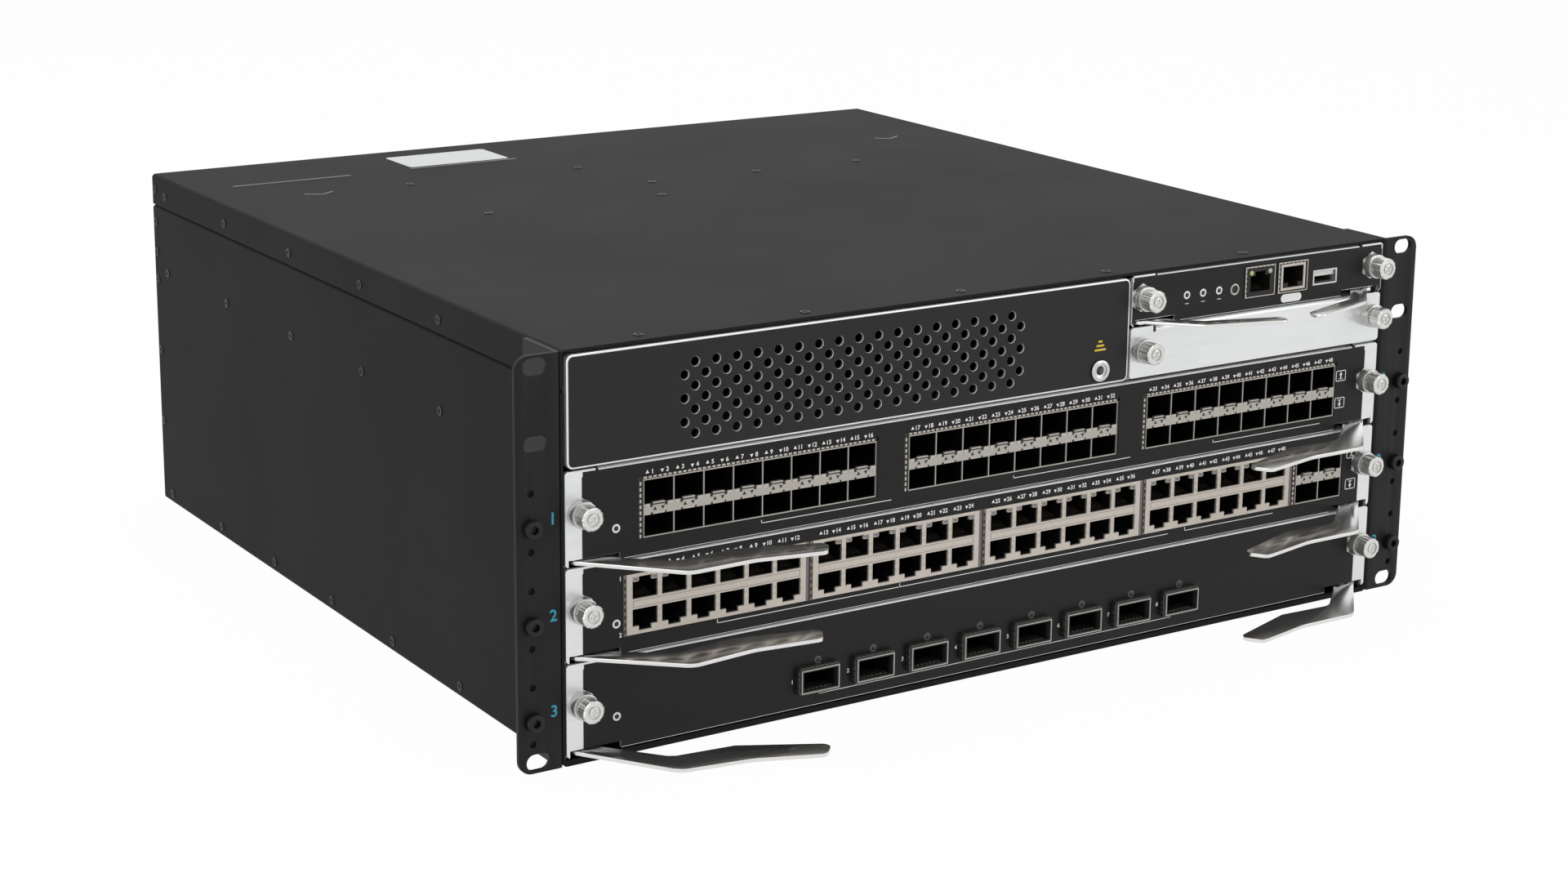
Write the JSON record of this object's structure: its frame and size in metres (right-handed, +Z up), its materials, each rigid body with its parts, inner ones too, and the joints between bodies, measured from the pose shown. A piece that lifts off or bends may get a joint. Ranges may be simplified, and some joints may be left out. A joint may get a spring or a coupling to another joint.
{
  "type": "modular chassis switch",
  "caption": "Rack-mounted modular network switch: slide-in line cards with ejector levers, control module, filler, air inlet, fan tray and power supplies.",
  "frame": {"origin": "centre of the underside of the case, on the middle plane, half-way between the ears' front faces and the rear wall", "axes": "+Z up, -Y out of the front panels, +X to the right seen from the front"},
  "size_m": [0.4826, 0.5251, 0.175],
  "materials": {
    "case_paint": "fine matt powder coat, charcoal",
    "frame_steel": "zinc-plated sheet",
    "bare_panel": "satin, light bare metal",
    "black_film": "satin black film",
    "nickel": "polished nickel plate",
    "knob_metal": "turned, satin",
    "tin_shield": "tinned sheet",
    "cage_metal": "nickel silver sheet",
    "board": "green circuit board",
    "black_plastic": "moulded black",
    "black_screw": "black oxide",
    "supply_steel": "zinc-plated sheet"
  },
  "bodies": {
    "chassis": {"chassis_tub": "case_paint", "top_cover": "case_paint", "left_ear": "case_paint", "right_ear": "case_paint", "ear_screws": "black_screw", "bay_frame": "frame_steel", "card_guides": "black_plastic", "backplane": "board", "rear_panel": "case_paint", "inlet_panel": "case_paint", "earth_jack": "nickel"},
    "card_1": {"card_1_panel": "bare_panel", "card_1_overlay": "black_film", "card_1_board": "board", "card_1_cages": "cage_metal"},
    "card_1_left_lever": {"card_1_left_lever": "nickel"},
    "card_1_right_lever": {"card_1_right_lever": "nickel"},
    "card_1_left_screw": {"card_1_left_screw": "knob_metal"},
    "card_1_right_screw": {"card_1_right_screw": "knob_metal"},
    "card_2": {"card_2_panel": "bare_panel", "card_2_overlay": "black_film", "card_2_board": "board", "card_2_jacks": "tin_shield", "card_2_cage": "cage_metal"},
    "card_2_left_lever": {"card_2_left_lever": "nickel"},
    "card_2_right_lever": {"card_2_right_lever": "nickel"},
    "card_2_left_screw": {"card_2_left_screw": "knob_metal"},
    "card_2_right_screw": {"card_2_right_screw": "knob_metal"},
    "card_3": {"card_3_panel": "bare_panel", "card_3_overlay": "black_film", "card_3_board": "board", "card_3_cages": "cage_metal"},
    "card_3_left_lever": {"card_3_left_lever": "nickel"},
    "card_3_right_lever": {"card_3_right_lever": "nickel"},
    "card_3_left_screw": {"card_3_left_screw": "knob_metal"},
    "card_3_right_screw": {"card_3_right_screw": "knob_metal"},
    "control": {"control_panel": "bare_panel", "control_overlay": "black_film", "control_board": "board", "control_jacks": "tin_shield", "control_usb_port": "cage_metal"},
    "control_left_lever": {"control_left_lever": "nickel"},
    "control_right_lever": {"control_right_lever": "nickel"},
    "control_left_screw": {"control_left_screw": "knob_metal"},
    "control_right_screw": {"control_right_screw": "knob_metal"},
    "function_button": {"function_button": "black_plastic"},
    "filler": {"filler_panel": "bare_panel"},
    "filler_left_screw": {"filler_left_screw": "knob_metal"},
    "filler_right_screw": {"filler_right_screw": "knob_metal"},
    "fan_module": {"fan_tray": "case_paint", "fan_frames": "black_plastic"},
    "rotor_1": {"rotor_1": "black_plastic"},
    "rotor_2": {"rotor_2": "black_plastic"},
    "rotor_3": {"rotor_3": "black_plastic"},
    "fan_tray_screw": {"fan_tray_screw": "knob_metal"},
    "supply_1": {"power_supply_1": "supply_steel"},
    "supply_latch_1": {"supply_latch_1": "nickel"},
    "supply_2": {"power_supply_2": "supply_steel"},
    "supply_latch_2": {"supply_latch_2": "nickel"}
  },
  "joints": [
    {"name": "card_1_slide", "type": "slide", "parent": "chassis", "child": "card_1", "axis": [0, -1, 0], "range_m": [0, 0.34]},
    {"name": "card_1_left_lever_swing", "type": "hinge", "parent": "card_1", "child": "card_1_left_lever", "pos_m": [-0.211, -0.2155, 0.08488], "axis": [0, 0, -1], "range_deg": [-5.5, 46]},
    {"name": "card_1_right_lever_swing", "type": "hinge", "parent": "card_1", "child": "card_1_right_lever", "pos_m": [0.211, -0.2155, 0.08488], "axis": [0, 0, 1], "range_deg": [-6.5, 45]},
    {"name": "card_1_left_screw_turn", "type": "hinge", "parent": "card_1", "child": "card_1_left_screw", "pos_m": [-0.2128, -0.2225, 0.10718], "axis": [0, 1, 0], "continuous": true},
    {"name": "card_1_right_screw_turn", "type": "hinge", "parent": "card_1", "child": "card_1_right_screw", "pos_m": [0.2128, -0.2225, 0.10718], "axis": [0, 1, 0], "continuous": true},
    {"name": "card_2_slide", "type": "slide", "parent": "chassis", "child": "card_2", "axis": [0, -1, 0], "range_m": [0, 0.34]},
    {"name": "card_2_left_lever_swing", "type": "hinge", "parent": "card_2", "child": "card_2_left_lever", "pos_m": [-0.211, -0.2155, 0.04424], "axis": [0, 0, -1], "range_deg": [-0.5, 51]},
    {"name": "card_2_right_lever_swing", "type": "hinge", "parent": "card_2", "child": "card_2_right_lever", "pos_m": [0.211, -0.2155, 0.04424], "axis": [0, 0, 1], "range_deg": [-6.5, 45]},
    {"name": "card_2_left_screw_turn", "type": "hinge", "parent": "card_2", "child": "card_2_left_screw", "pos_m": [-0.2128, -0.2225, 0.06654], "axis": [0, 1, 0], "continuous": true},
    {"name": "card_2_right_screw_turn", "type": "hinge", "parent": "card_2", "child": "card_2_right_screw", "pos_m": [0.2128, -0.2225, 0.06654], "axis": [0, 1, 0], "continuous": true},
    {"name": "card_3_slide", "type": "slide", "parent": "chassis", "child": "card_3", "axis": [0, -1, 0], "range_m": [0, 0.34]},
    {"name": "card_3_left_lever_swing", "type": "hinge", "parent": "card_3", "child": "card_3_left_lever", "pos_m": [-0.211, -0.2155, 0.0036], "axis": [0, 0, -1], "range_deg": [-15, 36.5]},
    {"name": "card_3_right_lever_swing", "type": "hinge", "parent": "card_3", "child": "card_3_right_lever", "pos_m": [0.211, -0.2155, 0.0036], "axis": [0, 0, 1], "range_deg": [-6.5, 45]},
    {"name": "card_3_left_screw_turn", "type": "hinge", "parent": "card_3", "child": "card_3_left_screw", "pos_m": [-0.2128, -0.2225, 0.0259], "axis": [0, 1, 0], "continuous": true},
    {"name": "card_3_right_screw_turn", "type": "hinge", "parent": "card_3", "child": "card_3_right_screw", "pos_m": [0.2128, -0.2225, 0.0259], "axis": [0, 1, 0], "continuous": true},
    {"name": "control_slide", "type": "slide", "parent": "chassis", "child": "control", "axis": [0, -1, 0], "range_m": [0, 0.34]},
    {"name": "control_left_lever_swing", "type": "hinge", "parent": "control", "child": "control_left_lever", "pos_m": [0.0764, -0.2155, 0.1501], "axis": [0, 0, -1], "range_deg": [-6.5, 45]},
    {"name": "control_right_lever_swing", "type": "hinge", "parent": "control", "child": "control_right_lever", "pos_m": [0.211, -0.2155, 0.1501], "axis": [0, 0, 1], "range_deg": [-6.5, 45]},
    {"name": "control_left_screw_turn", "type": "hinge", "parent": "control", "child": "control_left_screw", "pos_m": [0.0738, -0.2225, 0.16301], "axis": [0, 1, 0], "continuous": true},
    {"name": "control_right_screw_turn", "type": "hinge", "parent": "control", "child": "control_right_screw", "pos_m": [0.2128, -0.2225, 0.16301], "axis": [0, 1, 0], "continuous": true},
    {"name": "function_button_press", "type": "slide", "parent": "control", "child": "function_button", "axis": [0, 1, 0], "range_m": [0, 0.0007], "stiffness_N_per_m": 400},
    {"name": "filler_slide", "type": "slide", "parent": "chassis", "child": "filler", "axis": [0, -1, 0], "range_m": [0, 0.1]},
    {"name": "filler_left_screw_turn", "type": "hinge", "parent": "filler", "child": "filler_left_screw", "pos_m": [0.0738, -0.2225, 0.13902], "axis": [0, 1, 0], "continuous": true},
    {"name": "filler_right_screw_turn", "type": "hinge", "parent": "filler", "child": "filler_right_screw", "pos_m": [0.2128, -0.2225, 0.13902], "axis": [0, 1, 0], "continuous": true},
    {"name": "fan_module_slide", "type": "slide", "parent": "chassis", "child": "fan_module", "axis": [0, 1, 0], "range_m": [0, 0.12]},
    {"name": "rotor_1_turn", "type": "hinge", "parent": "fan_module", "child": "rotor_1", "pos_m": [-0.13, -0.2225, 0.064], "axis": [0, 1, 0], "continuous": true},
    {"name": "rotor_2_turn", "type": "hinge", "parent": "fan_module", "child": "rotor_2", "pos_m": [0, -0.2225, 0.064], "axis": [0, 1, 0], "continuous": true},
    {"name": "rotor_3_turn", "type": "hinge", "parent": "fan_module", "child": "rotor_3", "pos_m": [0.13, -0.2225, 0.064], "axis": [0, 1, 0], "continuous": true},
    {"name": "fan_tray_screw_turn", "type": "hinge", "parent": "fan_module", "child": "fan_tray_screw", "pos_m": [-0.208, -0.2225, 0.064], "axis": [0, 1, 0], "continuous": true},
    {"name": "supply_1_slide", "type": "slide", "parent": "chassis", "child": "supply_1", "axis": [0, 1, 0], "range_m": [0, 0.22]},
    {"name": "supply_latch_1_press", "type": "hinge", "parent": "supply_1", "child": "supply_latch_1", "pos_m": [-0.1174, 0.2045, 0.14592], "axis": [0, 0, 1], "range_deg": [0, 12], "stiffness_Nm_per_rad": 0.05},
    {"name": "supply_2_slide", "type": "slide", "parent": "chassis", "child": "supply_2", "axis": [0, 1, 0], "range_m": [0, 0.22]},
    {"name": "supply_latch_2_press", "type": "hinge", "parent": "supply_2", "child": "supply_latch_2", "pos_m": [-0.0114, 0.2045, 0.14592], "axis": [0, 0, 1], "range_deg": [0, 12], "stiffness_Nm_per_rad": 0.05}
  ]
}
